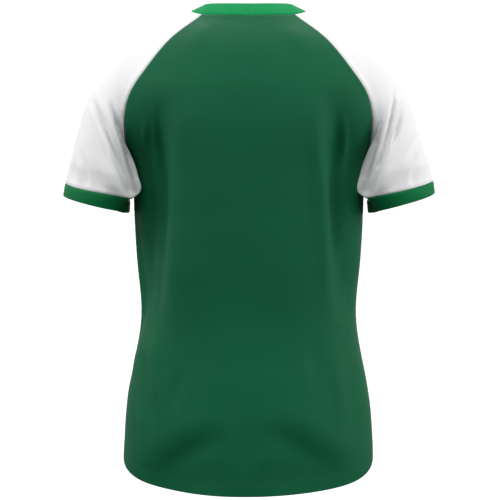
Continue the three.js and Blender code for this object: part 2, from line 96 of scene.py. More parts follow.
# Where the overhang starts, is greatest and ends, as shares of the way round the sleeve
OVERHANG_FROM, OVERHANG_AT, OVERHANG_TO = 0.055, 0.16, 0.46
# station, the point headed for behind, the one in front, and how much of the start stays flush
SLEEVE_AIM = np.array([
    (0, 80, 33, 9, 79, -44, -11, 1), (0.25, 141, 50, -35, 121, -44, -46, 1),
    (0.5, 184, 58, -85, 162, -58, -97, 0.9), (0.625, 193, 68, -113, 177, -70, -124, 0.6),
    (0.75, 195, 76, -144, 185, -82, -149, 0.3), (0.875, 189, 79, -178, 186, -91, -174, 0),
    (1, 181, 82, -209, 182, -94, -196, 0), (1.5, 178, 85, -244, 180, -91, -222, 0),
    (2, 177, 82, -270, 179, -88, -249, 0), (2.36, 178, 77, -286, 180, -86, -268, 0),
])
# station, x, y, z of the sleeve's inner line
SLEEVE_INNER = np.array([
    (1, 174.5, -2, -203), (1.5, 177.5, -2, -232), (2, 176.5, -3, -260), (2.36, 178, -5, -279),
])

# Folds, as seen from behind or in front. Each is a bowed line through three x and three z, with its
# width, its depth (below 0 for a trough), how much of it is left at its start and end, and its lip: the
# ridge beside it, above 0 towards the right of the line as it runs. A fold reaches a few widths.
FOLD_STEPS = 24
FOLD_REACH = 4
FOLDS = {
    "back": [
        ((131, 143, 148), (-100, -280, -490), 31, -15, 0.0, 0.0, 0),
        ((122, 134, 136), (-118, -280, -480), 16, -13, 0.0, 0.0, 0),
        ((88, 104, 110), (-126, -250, -400), 15, 0.8, 0.02, 0.02, 0),
        ((132, 141, 147), (-124, -200, -290), 4.5, 2.0, 0.02, 0.02, 0),
        ((146, 150, 152), (-148, -172, -196), 4, 2.0, 0.05, 0.05, 0),
        ((152, 157, 152), (-180, -310, -460), 9, -9, 0.05, 0.05, 0),
        ((-130, -140, -138), (-100, -250, -440), 23, -11, 0.0, 0.0, 0),
        ((-116, -131, -134), (-112, -280, -440), 14, -16, 0.0, 0.0, 0),
        ((-89, -106, -119), (-124, -290, -480), 12, 3.0, 0.02, 0.02, 0),
        ((-135, -140, -143), (-144, -186, -238), 4, 2.4, 0.02, 0.05, 0),
        ((-146, -137, -127), (-276, -346, -408), 7, 2.2, 0.05, 0.02, 0),
        ((-152, -150, -146), (-172, -215, -270), 7, -3, 0.05, 0.02, 0),
        ((26, 84, 146), (-590, -616, -664), 20, -6.5, 0.0, 0.1, 0),
        ((26, 84, 146), (-630, -656, -700), 27, -7, 0.0, 0.2, 0),
        ((-16, -78, -148), (-584, -612, -664), 21, -6.5, 0.0, 0.1, 0),
        ((-16, -78, -148), (-626, -652, -700), 28, -7, 0.0, 0.2, 0),
        ((-8, -4, 6), (-560, -600, -640), 20, -1.4, 0.05, 0.1, 0),
        ((151, 146, 132), (-470, -520, -592), 8, -4.6, 0.03, 0.03, 0),
        ((165, 160, 152), (-500, -540, -580), 8, -3.0, 0.05, 0.05, 0),
        ((134, 133, 131), (-430, -490, -560), 9, 2.0, 0.02, 0.05, 0),
        ((97, 101, 106), (-500, -530, -566), 11, -2.6, 0.05, 0.05, 0),
        ((-95, -94, -96), (-450, -490, -540), 12, -2.4, 0.05, 0.05, 0),
        ((-123, -127, -131), (-460, -515, -580), 9, 2.4, 0.02, 0.05, 0),
        ((-152, -148, -141), (-490, -540, -596), 9, -3.2, 0.05, 0.05, 0),
        ((58, 68, 86), (-14, -30, -60), 14, 1.6, 0.05, 0.05, 0),
        ((-56, -66, -84), (-14, -32, -62), 14, 1.6, 0.05, 0.05, 0),
    ],
    "front": [
        ((117, 128, 128), (-160, -288, -420), 11, -12, 0.02, 0.02, 0),
        ((90, 103, 110), (-140, -250, -400), 13, 2.2, 0.02, 0.02, 0),
        ((151, 153, 150), (-180, -280, -410), 7, -5, 0.05, 0.05, 0),
        ((-112, -124, -127), (-158, -284, -424), 12, -13, 0.02, 0.02, 0),
        ((-86, -100, -112), (-138, -260, -420), 12, 2.4, 0.02, 0.02, 0),
        ((-147, -145, -140), (-190, -260, -350), 7, -4, 0.05, 0.05, 0),
        ((38, 82, 128), (-572, -596, -630), 16, -6, 0.02, 0.1, 0),
        ((-42, -86, -130), (-576, -600, -632), 16, -6, 0.02, 0.1, 0),
        ((8, 4, -8), (-540, -590, -635), 20, -1.4, 0.1, 0.1, 0),
        ((150, 146, 137), (-470, -512, -580), 9, -3.8, 0.05, 0.05, -0.4),
        ((-152, -147, -140), (-480, -530, -592), 9, -3.4, 0.05, 0.05, 0.4),
        ((60, 74, 96), (-70, -100, -150), 14, 1.0, 0.1, 0.1, 0),
        ((-58, -70, -92), (-74, -104, -150), 14, 1.0, 0.1, 0.1, 0),
        ((0, 0, 0), (-110, -180, -260), 18, -1.0, 0.1, 0.1, 0),
    ],
    "left behind": [
        ((214, 193, 164), (-134, -188, -268), 4.0, -8.0, 0.05, 0.45, 0.4),
        ((205, 186, 166), (-126, -178, -246), 3.6, 4.0, 0.05, 0.1, 0),
        ((196, 182, 164), (-124, -168, -230), 3.2, -6.4, 0.05, 0.2, 0),
        ((190, 179, 167), (-140, -166, -206), 2.8, -4.4, 0.1, 0.2, 0),
        ((186, 176, 168), (-130, -150, -178), 2.6, 2.4, 0.1, 0.3, 0),
        ((222, 214, 206), (-118, -140, -160), 4.4, -3.4, 0.05, 0.2, 0.3),
        ((240, 231, 226), (-190, -222, -250), 5, -2.6, 0.05, 0.3, 0.3),
        ((252, 250, 249), (-204, -222, -240), 5, -1.6, 0.05, 0.3, 0),
        ((228, 214, 200), (-206, -230, -256), 8, -1.4, 0.05, 0.2, 0),
    ],
    "right behind": [
        ((208, 198, 168), (-106, -172, -262), 4.2, -8.0, 0.02, 0.4, 0.3),
        ((213, 203, 174), (-104, -172, -250), 3.6, 4.0, 0.05, 0.2, 0),
        ((219, 207, 184), (-118, -170, -216), 3.4, -6.2, 0.02, 0.4, 0.3),
        ((190, 182, 168), (-150, -180, -230), 3.2, -5.4, 0.05, 0.2, 0),
        ((185, 179, 170), (-146, -164, -190), 2.8, 2.8, 0.1, 0.4, 0),
        ((240, 232, 223), (-168, -186, -206), 5, -1.8, 0.05, 0.2, 0),
        ((245, 235, 230), (-192, -222, -248), 5, -2.6, 0.05, 0.3, 0.3),
        ((222, 208, 196), (-208, -234, -258), 8, -1.3, 0.05, 0.2, 0),
    ],
    # How the cloth behind each underarm is tucked in, away from the camera
    "left tuck": [((174, 163, 154), (-150, -214, -284), 16, -23, 0.0, 0.6, 0)],
    "right tuck": [((174, 164, 154), (-146, -210, -280), 16, -23, 0.0, 0.6, 0)],
    "left in front": [
        ((220, 202, 174), (-110, -172, -244), 5, -3.8, 0.02, 0.25, 0.3),
        ((204, 192, 174), (-124, -168, -222), 4.5, -3.2, 0.02, 0.3, 0),
        ((213, 197, 176), (-140, -182, -232), 4.2, 2.2, 0.02, 0.2, 0),
        ((242, 235, 230), (-184, -214, -244), 5, -2.0, 0.05, 0.2, 0.3),
        ((222, 214, 208), (-150, -168, -186), 5, -1.2, 0.05, 0.1, 0),
        ((216, 204, 194), (-202, -226, -252), 8, -1.4, 0.05, 0.2, 0),
    ],
    "right in front": [
        ((216, 204, 176), (-106, -166, -240), 5, -3.8, 0.02, 0.25, 0.3),
        ((203, 193, 175), (-130, -172, -220), 4.5, -3.0, 0.02, 0.3, 0),
        ((211, 199, 179), (-142, -180, -228), 4.2, 2.2, 0.02, 0.2, 0),
        ((244, 237, 231), (-178, -210, -240), 5, -2.0, 0.05, 0.2, 0.3),
        ((224, 215, 209), (-156, -172, -190), 5, -1.2, 0.05, 0.1, 0),
        ((214, 204, 194), (-198, -224, -250), 8, -1.3, 0.05, 0.2, 0),
    ],
}


def curve_through(at, value):
    """The natural cubic spline through a table's column, as a function of arrays."""
    at, value = np.asarray(at, float), np.asarray(value, float)
    if at[0] > at[-1]:
        at, value = at[::-1], value[::-1]
    step = np.diff(at)
    count = len(at)
    matrix, turn = np.zeros((count, count)), np.zeros(count)
    matrix[0, 0] = matrix[-1, -1] = 1
    for k in range(1, count - 1):
        matrix[k, k - 1 : k + 2] = step[k - 1], 2 * (step[k - 1] + step[k]), step[k]
        turn[k] = 6 * ((value[k + 1] - value[k]) / step[k] - (value[k] - value[k - 1]) / step[k - 1])
    bend = np.linalg.solve(matrix, turn)

    def value_at(x):
        x = np.asarray(x, float)
        k = np.clip(np.searchsorted(at, x), 1, count - 1)
        a = (at[k] - x) / step[k - 1]
        b = 1 - a
        cubic = ((a**3 - a) * bend[k - 1] + (b**3 - b) * bend[k]) * step[k - 1] ** 2
        return a * value[k - 1] + b * value[k] + cubic / 6

    return value_at


def columns(table):
    return [curve_through(table[:, 0], table[:, k]) for k in range(1, table.shape[1])]


half_width, half_depth, middle, squareness = columns(BODY)
raglan_width = {side: columns(table)[0] for side, table in RAGLAN.items()}
outer = columns(SLEEVE_OUTER)
swing_back, swing_front, tilt, overhang = columns(SLEEVE_SWING)
aim = columns(SLEEVE_AIM)
inner = columns(SLEEVE_INNER)


def smoothstep(x, low, high):
    t = np.clip((x - low) / (high - low), 0, 1)
    return t * t * (3 - 2 * t)


def lerp(a, b, t):
    return a + (b - a) * t


def unit(v):
    return v / np.maximum(np.linalg.norm(v, axis=-1, keepdims=True), 1e-12)


def body_point(angle, z):
    """A point of the body's surface at an angle round it: 0 is the left side and 90 degrees the back."""
    power = squareness(z)
    across = np.abs(np.cos(angle) / half_width(z)) ** power
    along = np.abs(np.sin(angle) / half_depth(z)) ** power
    radius = (across + along) ** (-1 / power)
    return np.stack([radius * np.cos(angle), middle(z) + radius * np.sin(angle), z + 0 * radius], -1)


def body_normal(angle, z):
    round_step = body_point(angle + 0.002, z) - body_point(angle - 0.002, z)
    up_step = body_point(angle, z + 0.5) - body_point(angle, z - 0.5)
    return unit(np.cross(round_step, up_step))


def seam_angle(side, z):
    share = np.clip(raglan_width[side](z) / half_width(z), 0, 1)
    power = squareness(z)
    depth = half_depth(z) * (1 - share**power) ** (1 / power)
    return (1 if side == "back" else -1) * np.arctan2(depth, raglan_width[side](z))


def row_end(side, u):
    """The height and angle of a row's left end, u from 0, the collar, to 1, the underarm."""
    top = RAGLAN[side][0, 0]
    z = lerp(top, UNDERARM, u)
    return z, seam_angle(side, z)


def fold_height(face, x, z):
    """How far the folds on a face move points that are seen at x and z."""
    height = np.zeros_like(x)
    for xs, zs, width, depth, start_left, end_left, lip in FOLDS[face]:
        a, m, b = (np.array([px, pz], float) for px, pz in zip(xs, zs))
        control = 2 * m - (a + b) / 2
        reach = FOLD_REACH * width
        near = (x > min(xs) - reach) & (x < max(xs) + reach)
        near &= (z > min(zs) - reach) & (z < max(zs) + reach)
        if not near.any():
            continue
        p = np.stack([x[near], z[near]], -1)
        best = np.full(len(p), 1e9)
        side, place = np.zeros(len(p)), np.zeros(len(p))
        ts = np.linspace(0, 1, FOLD_STEPS + 1)
        line = np.outer((1 - ts) ** 2, a) + np.outer(2 * ts * (1 - ts), control) + np.outer(ts**2, b)
        for k in range(FOLD_STEPS):
            d = line[k + 1] - line[k]
            t = np.clip(((p - line[k]) @ d) / (d @ d), 0, 1)
            off = p - line[k] - t[:, None] * d
            away = np.hypot(off[:, 0], off[:, 1])
            closer = away < best
            best = np.where(closer, away, best)
            side = np.where(closer, np.sign(d[0] * off[:, 1] - d[1] * off[:, 0]), side)
            place = np.where(closer, (k + t) / FOLD_STEPS, place)
        ends = lerp(start_left, end_left, place)
        strength = ends + (1 - ends) * np.sin(np.pi * place) ** 1.2
        q = best / width
        shape = np.exp(-q * q) - 0.16 * np.exp(-(((q - 1.8) / 0.95) ** 2))
        if lip:
            beside = side * np.sign(lip) * q
            shape = shape - abs(lip) * 0.55 * np.exp(-(((beside + 1.35) / 0.75) ** 2))
        height[near] += depth * strength * shape
    return height


def ease(x, z, seed):
    """The cloth's slight unevenness: a few long waves in fixed directions."""
    rng = np.random.default_rng(seed)
    total = np.zeros_like(x)
    for length, size in ((190, 0.6), (130, 0.4), (84, 0.2), (52, 0.1)):
        way, phase = rng.uniform(0, math.pi), rng.uniform(0, 2 * math.pi)
        total += size * np.sin((x * math.cos(way) + z * math.sin(way)) * 2 * math.pi / length + phase)
    return total


def arc_from(points, axis, last=False):
    """The distance along a grid's rows or columns from its first line, or from its last one."""
    steps = np.linalg.norm(np.diff(points, axis=axis), axis=-1)
    shape = list(steps.shape)
    shape[axis] = 1
    total = np.concatenate([np.zeros(shape), np.cumsum(steps, axis=axis)], axis=axis)
    return np.take(total, [-1], axis=axis) - total if last else total


def seam_roll(distance, along, depth=1.15, width=1.4):
    """A seam's groove, with the low swell beside it and the puckers that the thread pulls in it."""
    groove = -depth * np.exp(-((distance / width) ** 2))
    swell = 0.3 * np.exp(-(((distance - 5) / 2.6) ** 2))
    waves = np.sin(along * 0.62) + 0.6 * np.sin(along * 0.37 + 1.3) + 0.5 * np.sin(along * 1.05 + 0.4)
    return groove + swell + 0.11 * waves * np.exp(-((distance / 7) ** 2)) * smoothstep(distance, 0.4, 2.5)


def grid_normals(points, towards):
    across, down = np.gradient(points, axis=1), np.gradient(points, axis=0)
    normals = unit(np.cross(across, down))
    flip = np.sign(np.mean(np.sum(normals * towards, -1)))
    return normals * flip


def finer_ends(count, steps):
    """Shares from 0 to 1 with narrow steps at both ends, for the seams' grooves."""
    inside = np.linspace(steps[-1], 1 - steps[-1], count - 2 * len(steps) + 2)[1:-1]
    return np.concatenate([steps, inside, 1 - np.array(steps)[::-1]])


# The narrow steps beside the seams, as shares of a row or of a column, and above the hem
PANEL_EDGE = (0, 0.0022, 0.0045, 0.0075, 0.011, 0.016, 0.023)
SLEEVE_EDGE = (0, 0.0015, 0.003, 0.005, 0.0075, 0.011, 0.016)
COLLAR_EDGE = (0, 0.003, 0.006, 0.01, 0.015, 0.022, 0.03)
HEM_EDGE = np.array([24, 23, 22.4, 21.8, 21, 20, 18.5, 16, 13, 10, 7, 4.5, 3, 2, 1.2, 0.6, 0.2, 0])
HEM_EDGE_FROM = 27
BODY_LENGTH = 451


def panel(side, count, raglan_rows, body_rows):
    """A panel's grid of points before the folds, its normals, and how many rows the raglan seams have."""
    facing = 1 if side == "back" else -1
    neckline, hem = (NAPE_NECKLINE, BACK_HEM) if facing > 0 else (FRONT_NECKLINE, FRONT_HEM)
    u = np.concatenate([COLLAR_EDGE, np.linspace(0.04, 1, raglan_rows)])
    z_end, end = row_end(side, u)
    z_middle = lerp(neckline, UNDERARM, u)
    plain = np.linspace(0, 1 - HEM_EDGE_FROM / BODY_LENGTH, body_rows)[1:]
    s = np.concatenate([plain, 1 - HEM_EDGE / BODY_LENGTH])
    z_end = np.concatenate([z_end, lerp(UNDERARM, SIDE_HEM, s)])
    z_middle = np.concatenate([z_middle, lerp(UNDERARM, hem, s)])
    end = np.concatenate([end, 0 * s])
    across = (1 - 2 * finer_ends(count, PANEL_EDGE))[None, :]
    quarter = facing * math.pi / 2
    angle = quarter - across * (quarter - end[:, None])
    curve = np.where(np.arange(len(z_end)) < len(u), 2, HEM_CURVE)[:, None]
    z = lerp(z_middle[:, None], z_end[:, None], np.abs(across) ** curve)
    return body_point(angle, z), body_normal(angle, z), len(u)


def bezier(a, b, c, d, t):
    a, b, c, d = (v[:, None, :] for v in (a, b, c, d))
    t = t[None, :, None]
    s = 1 - t
    return s**3 * a + 3 * s * s * t * b + 3 * s * t * t * c + t**3 * d


def sleeve_surface(stations, shares):
    """The left sleeve's surface: each row an arch from the back seam over the outer line to the front."""
    top = np.stack([f(stations) for f in outer], -1)
    ends = {}
    for side, first in (("back", 0), ("front", 3)):
        target = np.stack([aim[first + k](stations) for k in range(3)], -1)
        z, angle = row_end(side, np.minimum(stations, 1))
        seam = body_point(angle, z)
        normal = body_normal(angle, z)
        below = np.stack([f(np.maximum(stations, 1)) for f in inner], -1)
        is_open = (stations < 1)[:, None]
        flush = np.where(stations < 1, np.clip(aim[6](stations), 0, 1), 0)[:, None]
        away = np.sum((target - seam) * normal, -1, keepdims=True)
        ends[side] = (np.where(is_open, seam, below), target - normal * away * flush)
    zero = 0 * stations
    behind = np.stack([zero, swing_back(stations), -swing_back(stations) * tilt(stations)], -1)
    before = np.stack([zero, -swing_front(stations), swing_front(stations) * tilt(stations)], -1)
    (back_start, back_aim), (front_start, front_aim) = ends["back"], ends["front"]
    back_half = bezier(back_start, back_aim, top + behind, top, shares[shares < 0.5] * 2)
    front_half = bezier(top, top + before, front_aim, front_start, shares[shares >= 0.5] * 2 - 1)
    points = np.concatenate([back_half, front_half], 1)
    hung = smoothstep(shares, OVERHANG_FROM, OVERHANG_AT) - smoothstep(shares, OVERHANG_AT, OVERHANG_TO)
    points[:, :, 0] -= hung[None, :] * np.maximum(overhang(stations), 0)[:, None]
    return points


def rounded_edge(distance, size):
    """How far a cut edge is rounded off, from 0 to 1, at a distance from it."""
    return 1 - np.sqrt(1 - np.clip(1 - distance / size, 0, 1) ** 2)


def settled(points, rounds, fixed):
    """Evens a grid's columns out, as cloth does, and leaves it where it is fixed."""
    free = (1 - fixed)[..., None]
    for _ in range(rounds):
        middle_rows = points[1:-1]
        beside = (points[:-2] + points[2:]) / 2
        points[1:-1] = middle_rows + (beside - middle_rows) * 0.5 * free[1:-1]
    return points


def slide_edges(points, slit):
    """Draws both ends of a grid's rows in by half a slit, or out where it is below 0."""
    for edge, nxt in ((0, 1), (-1, -2)):
        points[:, edge] += unit(points[:, nxt] - points[:, edge]) * slit / 2


def shell(name, points, normals, thickness, across=None, along=None):
    """A closed sheet of cloth from its outer grid, with a map of the cloth in metres."""
    rows, count = points.shape[:2]
    inside = points - normals * np.broadcast_to(thickness, (rows, count))[..., None]
    verts = np.concatenate([points.reshape(-1, 3), inside.reshape(-1, 3)]) * MM
    k = np.arange(rows * count).reshape(rows, count)
    quads = np.stack([k[:-1, :-1], k[:-1, 1:], k[1:, 1:], k[1:, :-1]], -1).reshape(-1, 4)
    row, column = rows // 2, count // 2
    a, b, c = points[row, column], points[row, column + 1], points[row + 1, column]
    outward = np.dot(np.cross(b - a, c - a), normals[row, column]) > 0
    if not outward:
        quads = quads[:, ::-1]
    layer = rows * count
    ring = np.concatenate([k[0, :], k[1:, -1], k[-1, -2::-1], k[-2:0:-1, 0]])
    nxt = np.roll(ring, -1)
    rim = np.stack([ring, ring + layer, nxt + layer, nxt], -1)
    if not outward:
        rim = rim[:, ::-1]
    faces = np.concatenate([quads, quads[:, ::-1] + layer, rim])
    mesh = bpy.data.meshes.new(name)
    mesh.vertices.add(len(verts))
    mesh.vertices.foreach_set("co", verts.ravel())
    mesh.loops.add(faces.size)
    mesh.loops.foreach_set("vertex_index", faces.ravel().astype(np.int32))
    mesh.polygons.add(len(faces))
    mesh.polygons.foreach_set("loop_start", np.arange(0, faces.size, 4, dtype=np.int32))
    mesh.update(calc_edges=True)
    mesh.polygons.foreach_set("use_smooth", np.ones(len(faces), bool))
    if across is None:
        across = arc_from(points, 1)
        across = across - across[:, column : column + 1]
    if along is None:
        along = np.broadcast_to(arc_from(points, 0)[:, column : column + 1], (rows, count))
    flat = np.stack([across, along], -1).reshape(-1, 2) * MM
    flat = np.concatenate([flat, flat])
    cloth_map = mesh.uv_layers.new(name="cloth")
    cloth_map.data.foreach_set("uv", flat[faces.ravel()].ravel().astype(np.float32))
    obj = bpy.data.objects.new(name, mesh)
    bpy.context.collection.objects.link(obj)
    return obj


# The panels of the body


def make_panel(side, count, raglan_rows, body_rows):
    """A panel with its folds, its sewn edges and its turned hem, and its grid for the stitches."""
    base, normal, seam_rows = panel(side, count, raglan_rows, body_rows)
    slide_edges(base[:seam_rows], SEAM_SLIT)
    slide_edges(base[seam_rows:], -SIDE_LAP)
    left, right = arc_from(base, 1), arc_from(base, 1, last=True)
    edge = np.minimum(left, right)
    down = arc_from(base, 0)
    up = arc_from(base, 0, last=True)
    x, z = base[..., 0], base[..., 2]
    height = fold_height(side, x, z) * smoothstep(edge, 1, 16) * smoothstep(down, 2, 22)
    height += ease(x, z, 3 if side == "back" else 8) * smoothstep(edge, 2, 30) * smoothstep(down, 4, 30)
    height += seam_roll(edge, down)
    height += seam_roll(down, left, 0.9, 1.2)
    hem = smoothstep(-up, -HEM_TURN - 0.6, -HEM_TURN + 0.6)
    line = sum(np.exp(-(((up - HEM_TURN + row) / 1.3) ** 2)) for row in STITCH_ROWS)
    pucker = np.sin(left * 0.55) + 0.7 * np.sin(left * 0.31 + 0.8) + 0.5 * np.sin(left * 0.93 + 2)
    height += 0.2 * hem - 0.3 * line + 0.1 * pucker * np.exp(-(((up - HEM_TURN + 3) / 7) ** 2))
    wave = 0.9 * np.sin(x * 0.033 + 0.7) + 0.5 * np.sin(x * 0.061 + 2.1)
    height += wave * smoothstep(-up, -60, 0)
    cut = rounded_edge(up, 1.0)
    height -= cut * DOUBLED_CLOTH / 2
    points = base + normal * height[..., None]
    normals = grid_normals(points, normal)
    wall = lerp(CLOTH, DOUBLED_CLOTH, smoothstep(-up, -HEM_TURN - 0.5, -HEM_TURN + 0.3))
    wall -= 0.96 * cut * DOUBLED_CLOTH
    return shell(side + "_cloth", points, normals, wall), points, normals, up


def row_at(points, normals, distances, wanted, lift):
    """The line on a grid at a distance from its last row, raised a little off the cloth."""
    lifted = (points + normals * lift)[::-1]
    return np.array([
        [np.interp(wanted, distances[::-1, column], lifted[:, column, k]) for k in range(3)]
        for column in range(points.shape[1])
    ])


# Sleeves and cuffs

CUFF_SEAM = 2.0
CUFF_END = 2.36
SLEEVE_COLUMNS = 200
MIRROR = {"left": np.array([1, 1, 1]), "right": np.array([-1, 1, 1])}
# How much each sleeve's outer side is drawn in and lifted where it ends, because no two hang alike
OUTER_DRAWN_IN = {"left": 2.2, "right": 0.0}
OUTER_LIFTED = {"left": 1.0, "right": 5.0}


def hung_sleeve(base, stations, hand):
    """The sleeve's grid with its outer side hung as this arm's is."""
    late = smoothstep(stations, 0.6, 2)[:, None]
    out = np.clip((base[..., 0] - 178) / 95, 0, 1.1)
    base[..., 0] -= OUTER_DRAWN_IN[hand] * late * out
    base[..., 2] += OUTER_LIFTED[hand] * late * out
    return base


def tube_normals(base):
    """A sleeve's normals, away from the line midway between its seam and its outer line."""
    outer_line = base[:, SLEEVE_COLUMNS // 2, None]
    return grid_normals(base, base - (base[:, :1] + outer_line) / 2)


def make_sleeve(hand):
    """A sleeve with its drag lines and its tuck behind the underarm, from the collar to the cuff."""
    stations = np.concatenate([
        COLLAR_EDGE, np.linspace(0.04, 0.995, 112),
        np.linspace(1, 1.95, 44), (1.965, 1.978, 1.988, 1.994, CUFF_SEAM),
    ])
    shares = finer_ends(SLEEVE_COLUMNS, SLEEVE_EDGE)
    base = sleeve_surface(stations, shares)
    edge = np.minimum(arc_from(base, 1), arc_from(base, 1, last=True))
    ends = np.minimum(arc_from(base, 0), arc_from(base, 0, last=True))
    base = hung_sleeve(base, stations, hand)
    base = settled(base, 90, 1 - smoothstep(edge, 1, 14) * smoothstep(ends, 0, 10))
    normal = tube_normals(base)
    slide_edges(base, SEAM_SLIT)
    start, end = arc_from(base, 1), arc_from(base, 1, last=True)
    edge = np.minimum(start, end)
    down, up = arc_from(base, 0), arc_from(base, 0, last=True)
    x, z = base[..., 0], base[..., 2]
    behind = (shares < 0.5)[None, :]
    turned = smoothstep(np.abs(normal[..., 1]), 0.2, 0.65)
    fold = np.where(behind, fold_height(hand + " behind", x, z), fold_height(hand + " in front", x, z))
    height = fold * turned * smoothstep(edge, 1, 12) * smoothstep(up, 0, 14)
    height += 0.8 * ease(x + base[..., 1], z, 5 if hand == "left" else 12) * smoothstep(edge, 2, 24)
    height += seam_roll(edge, down)
    height += seam_roll(down, start, 0.9, 1.2)
    height += seam_roll(up, start, 0.8, 1.3)
    points = base + normal * height[..., None]
    free = behind * smoothstep(edge, 1, 30) * smoothstep(up, 0, 20) * (1 - smoothstep(shares, 0.3, 0.5))
    points[..., 1] += fold_height(hand + " tuck", x, z) * free
    normals = grid_normals(points, normal)
    return shell("sleeve_cloth_" + hand, points * MIRROR[hand], normals * MIRROR[hand], CLOTH)


def make_cuff(hand):
    """A cuff: a doubled band sewn to the sleeve's end, with a rounded lower edge."""
    stations = np.concatenate([
        (CUFF_SEAM, 2.006, 2.014, 2.024), np.linspace(2.04, 2.33, 12), (2.342, 2.35, 2.356, CUFF_END),
    ])
    base = hung_sleeve(sleeve_surface(stations, finer_ends(SLEEVE_COLUMNS, SLEEVE_EDGE)), stations, hand)
    normal = tube_normals(base)
    slide_edges(base, SEAM_SLIT)
    start = arc_from(base, 1)
    edge = np.minimum(start, arc_from(base, 1, last=True))
    down, up = arc_from(base, 0), arc_from(base, 0, last=True)
    height = 0.5 * smoothstep(down, 0, 2.5) + seam_roll(down, start, 0.9, 1.2)
    height += seam_roll(edge, down, 0.8, 1.2)
    height -= 0.3 * np.exp(-(((down - 3.2) / 0.9) ** 2))
    height += 0.5 * np.sin(start * 0.09 + (0.6 if hand == "left" else 2)) * smoothstep(down, 2, 14)
    cut = rounded_edge(up, 1.1)
    height -= 0.9 * cut
    points = base + normal * height[..., None]
    normals = grid_normals(points, normal)
    wall = DOUBLED_CLOTH - 1.75 * cut
    return shell("cuff_cloth_" + hand, points * MIRROR[hand], normals * MIRROR[hand], wall)


# The collar

COLLAR_WIDTH = 22
# How steeply the band stands at the nape and the throat, and over the shoulders
STAND_IN_MIDDLE = 0.225
STAND_AT_SIDE = -0.03
RIBS = 240
POINTS_PER_RIB = 5
RIB_RELIEF = 0.16


def neckline_loop():
    """The neckline's points and the cloth's normals, from the nape over the left shoulder and round."""

    def from_panel(side, across):
        facing = 1 if side == "back" else -1
        neckline = NAPE_NECKLINE if facing > 0 else FRONT_NECKLINE
        z_end, end = row_end(side, np.array(0.0))
        quarter = facing * math.pi / 2
        angle = quarter - across * (quarter - end)
        z = lerp(neckline, z_end, across**2)
        return body_point(angle, z), body_normal(angle, z)

    p, n = from_panel("back", np.linspace(0, 1, 50))
    arch = sleeve_surface(np.array([0, 0.01]), np.linspace(0, 1, 60))
    arch_normal = unit(np.cross(np.gradient(arch[0], axis=0), arch[1] - arch[0]))
    if arch_normal[30, 2] < 0:
        arch_normal = -arch_normal
    f, fn = from_panel("front", np.linspace(1, 0, 50))
    left = np.concatenate([p, arch[0][1:-1], f])
    left_n = np.concatenate([n, arch_normal[1:-1], fn])
    loop = np.concatenate([left, left[-2:0:-1] * MIRROR["right"]])
    loop_n = np.concatenate([left_n, left_n[-2:0:-1] * MIRROR["right"]])
    return loop, loop_n


def even_loop(loop, values, count):
    """Evenly spaced points round a loop, and the values that go with them."""
    closed = np.concatenate([loop, loop[:1]])
    lengths = np.concatenate([[0], np.cumsum(np.linalg.norm(np.diff(closed, axis=0), axis=1))])
    at = np.linspace(0, lengths[-1], count + 1)
    all_values = np.concatenate([values, values[:1]])
    even = np.stack([np.interp(at, lengths, closed[:, k]) for k in range(3)], -1)
    kept = np.stack([np.interp(at, lengths, all_values[:, k]) for k in range(3)], -1)
    return even, unit(kept), at


def smoothed(values, width):
    """A loop's values averaged over neighbours, so that its corners turn softly."""
    kernel = np.hanning(2 * width + 3)[1:-1]
    kernel /= kernel.sum()
    wrapped = np.concatenate([values[-width - 1 : -1], values, values[1 : width + 1]])
    return np.stack([np.convolve(wrapped[:, k], kernel, "valid") for k in range(values.shape[1])], -1)


def make_collar():
    """The ribbed band that stands on the neckline, with one join at the centre of the nape."""
    loop, loop_n = neckline_loop()
    seam, normal, at = even_loop(loop, loop_n, RIBS * POINTS_PER_RIB)
    run = np.gradient(seam, axis=0)
    run[0] = run[-1] = (seam[1] - seam[-2]) / 2
    run = unit(smoothed(run, 12))
    normal = unit(smoothed(normal, 12))
    rise = unit(np.cross(normal, run))
    flip = np.sign(-(rise[:, :1] * seam[:, :1] + rise[:, 1:2] * seam[:, 1:2]))
    rise = rise * flip
    ahead = run[:, 0] ** 4
    rise[:, 2] += lerp(STAND_AT_SIDE, STAND_IN_MIDDLE, ahead)
    rise = unit(rise)
    out = unit(np.cross(run, rise))
    out *= np.sign(np.sum(out * normal, -1, keepdims=True))
    heights = np.array([
        0.05, 0.5, 1.1, 1.8, 2.8, 5, 8, 11, 14, 17, 19, 20.2, 21, 21.5, 21.85, COLLAR_WIDTH,
    ])
    bulge = 0.5 * np.sin(np.pi * np.clip(heights / COLLAR_WIDTH, 0, 1))
    cut = 1 - np.sqrt(1 - np.clip((heights - 20.7) / 1.3, 0, 0.999) ** 2)
    dip = -0.9 * np.exp(-((heights / 1.2) ** 2))
    whole = (1 - cut)[:, None]
    ribbing = RIB_RELIEF * np.cos(at / at[-1] * RIBS * 2 * np.pi)[None, :]
    ribbing = ribbing * smoothstep(heights, 0.5, 2)[:, None] * whole
    join = np.minimum(at, at[-1] - at)[None, :]
    ribbing = ribbing * smoothstep(join, 1.0, 2.2) - 0.75 * np.exp(-((join / 1.1) ** 2)) * whole
    height = (bulge + dip - cut)[:, None] + ribbing
    points = seam[None] + rise[None] * heights[:, None, None] + out[None] * height[..., None]
    normals = np.broadcast_to(out[None], points.shape)
    across = np.broadcast_to(at[None, :], points.shape[:2])
    along = np.broadcast_to(heights[:, None], points.shape[:2])
    wall = (2.0 - 1.9 * cut)[:, None] * np.ones_like(ribbing)
    return shell("collar_rib", points, normals, wall, across, along)


# Materials

# Columns and courses of stitches in a metre
JERSEY = (1100.0, 1400.0)
RIB = (1500.0, 1300.0)


